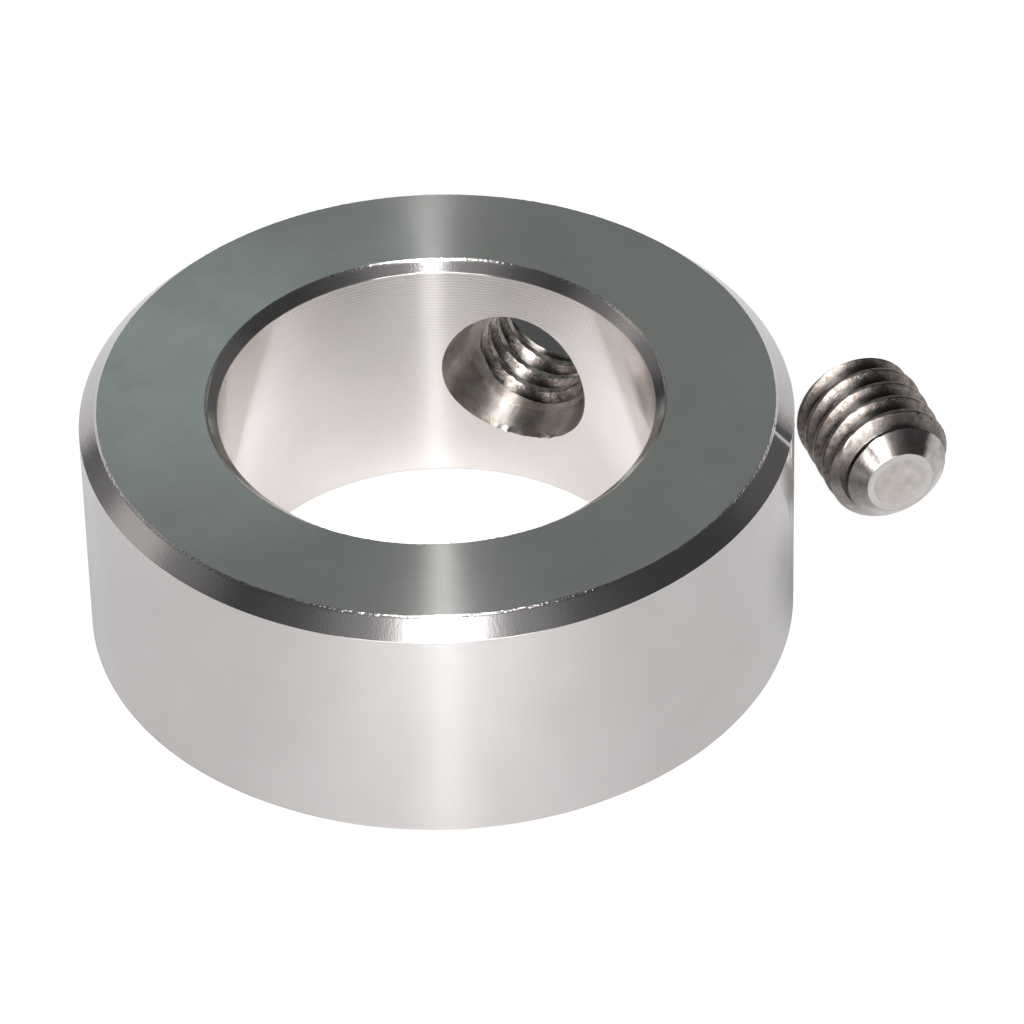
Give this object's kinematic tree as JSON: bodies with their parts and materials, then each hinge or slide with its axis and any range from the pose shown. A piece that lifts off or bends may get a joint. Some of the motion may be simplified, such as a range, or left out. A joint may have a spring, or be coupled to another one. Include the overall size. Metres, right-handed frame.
{
  "type": "grub screw shaft collar",
  "caption": "Turned steel shaft collar with a chamfered bore and a radial tapped hole, its flat point hex socket grub screw taken out and laid beside it.",
  "frame": {"origin": "centre of the bore at mid-width, with the surface that the collar and the screw lie on 8.05 mm below", "axes": "+Z along the bore's axis, up as the collar lies flat, +Y away from the picture's viewpoint, and +X to its right, where the loose screw lies"},
  "size_m": [0.0512, 0.0414, 0.0162],
  "materials": {
    "collar_steel": "fine turned, bright",
    "screw_steel": "rolled thread, bright with a dark tint"
  },
  "bodies": {
    "root": {"collar_ring": "collar_steel", "grub_screw": "screw_steel"}
  },
  "joints": []
}
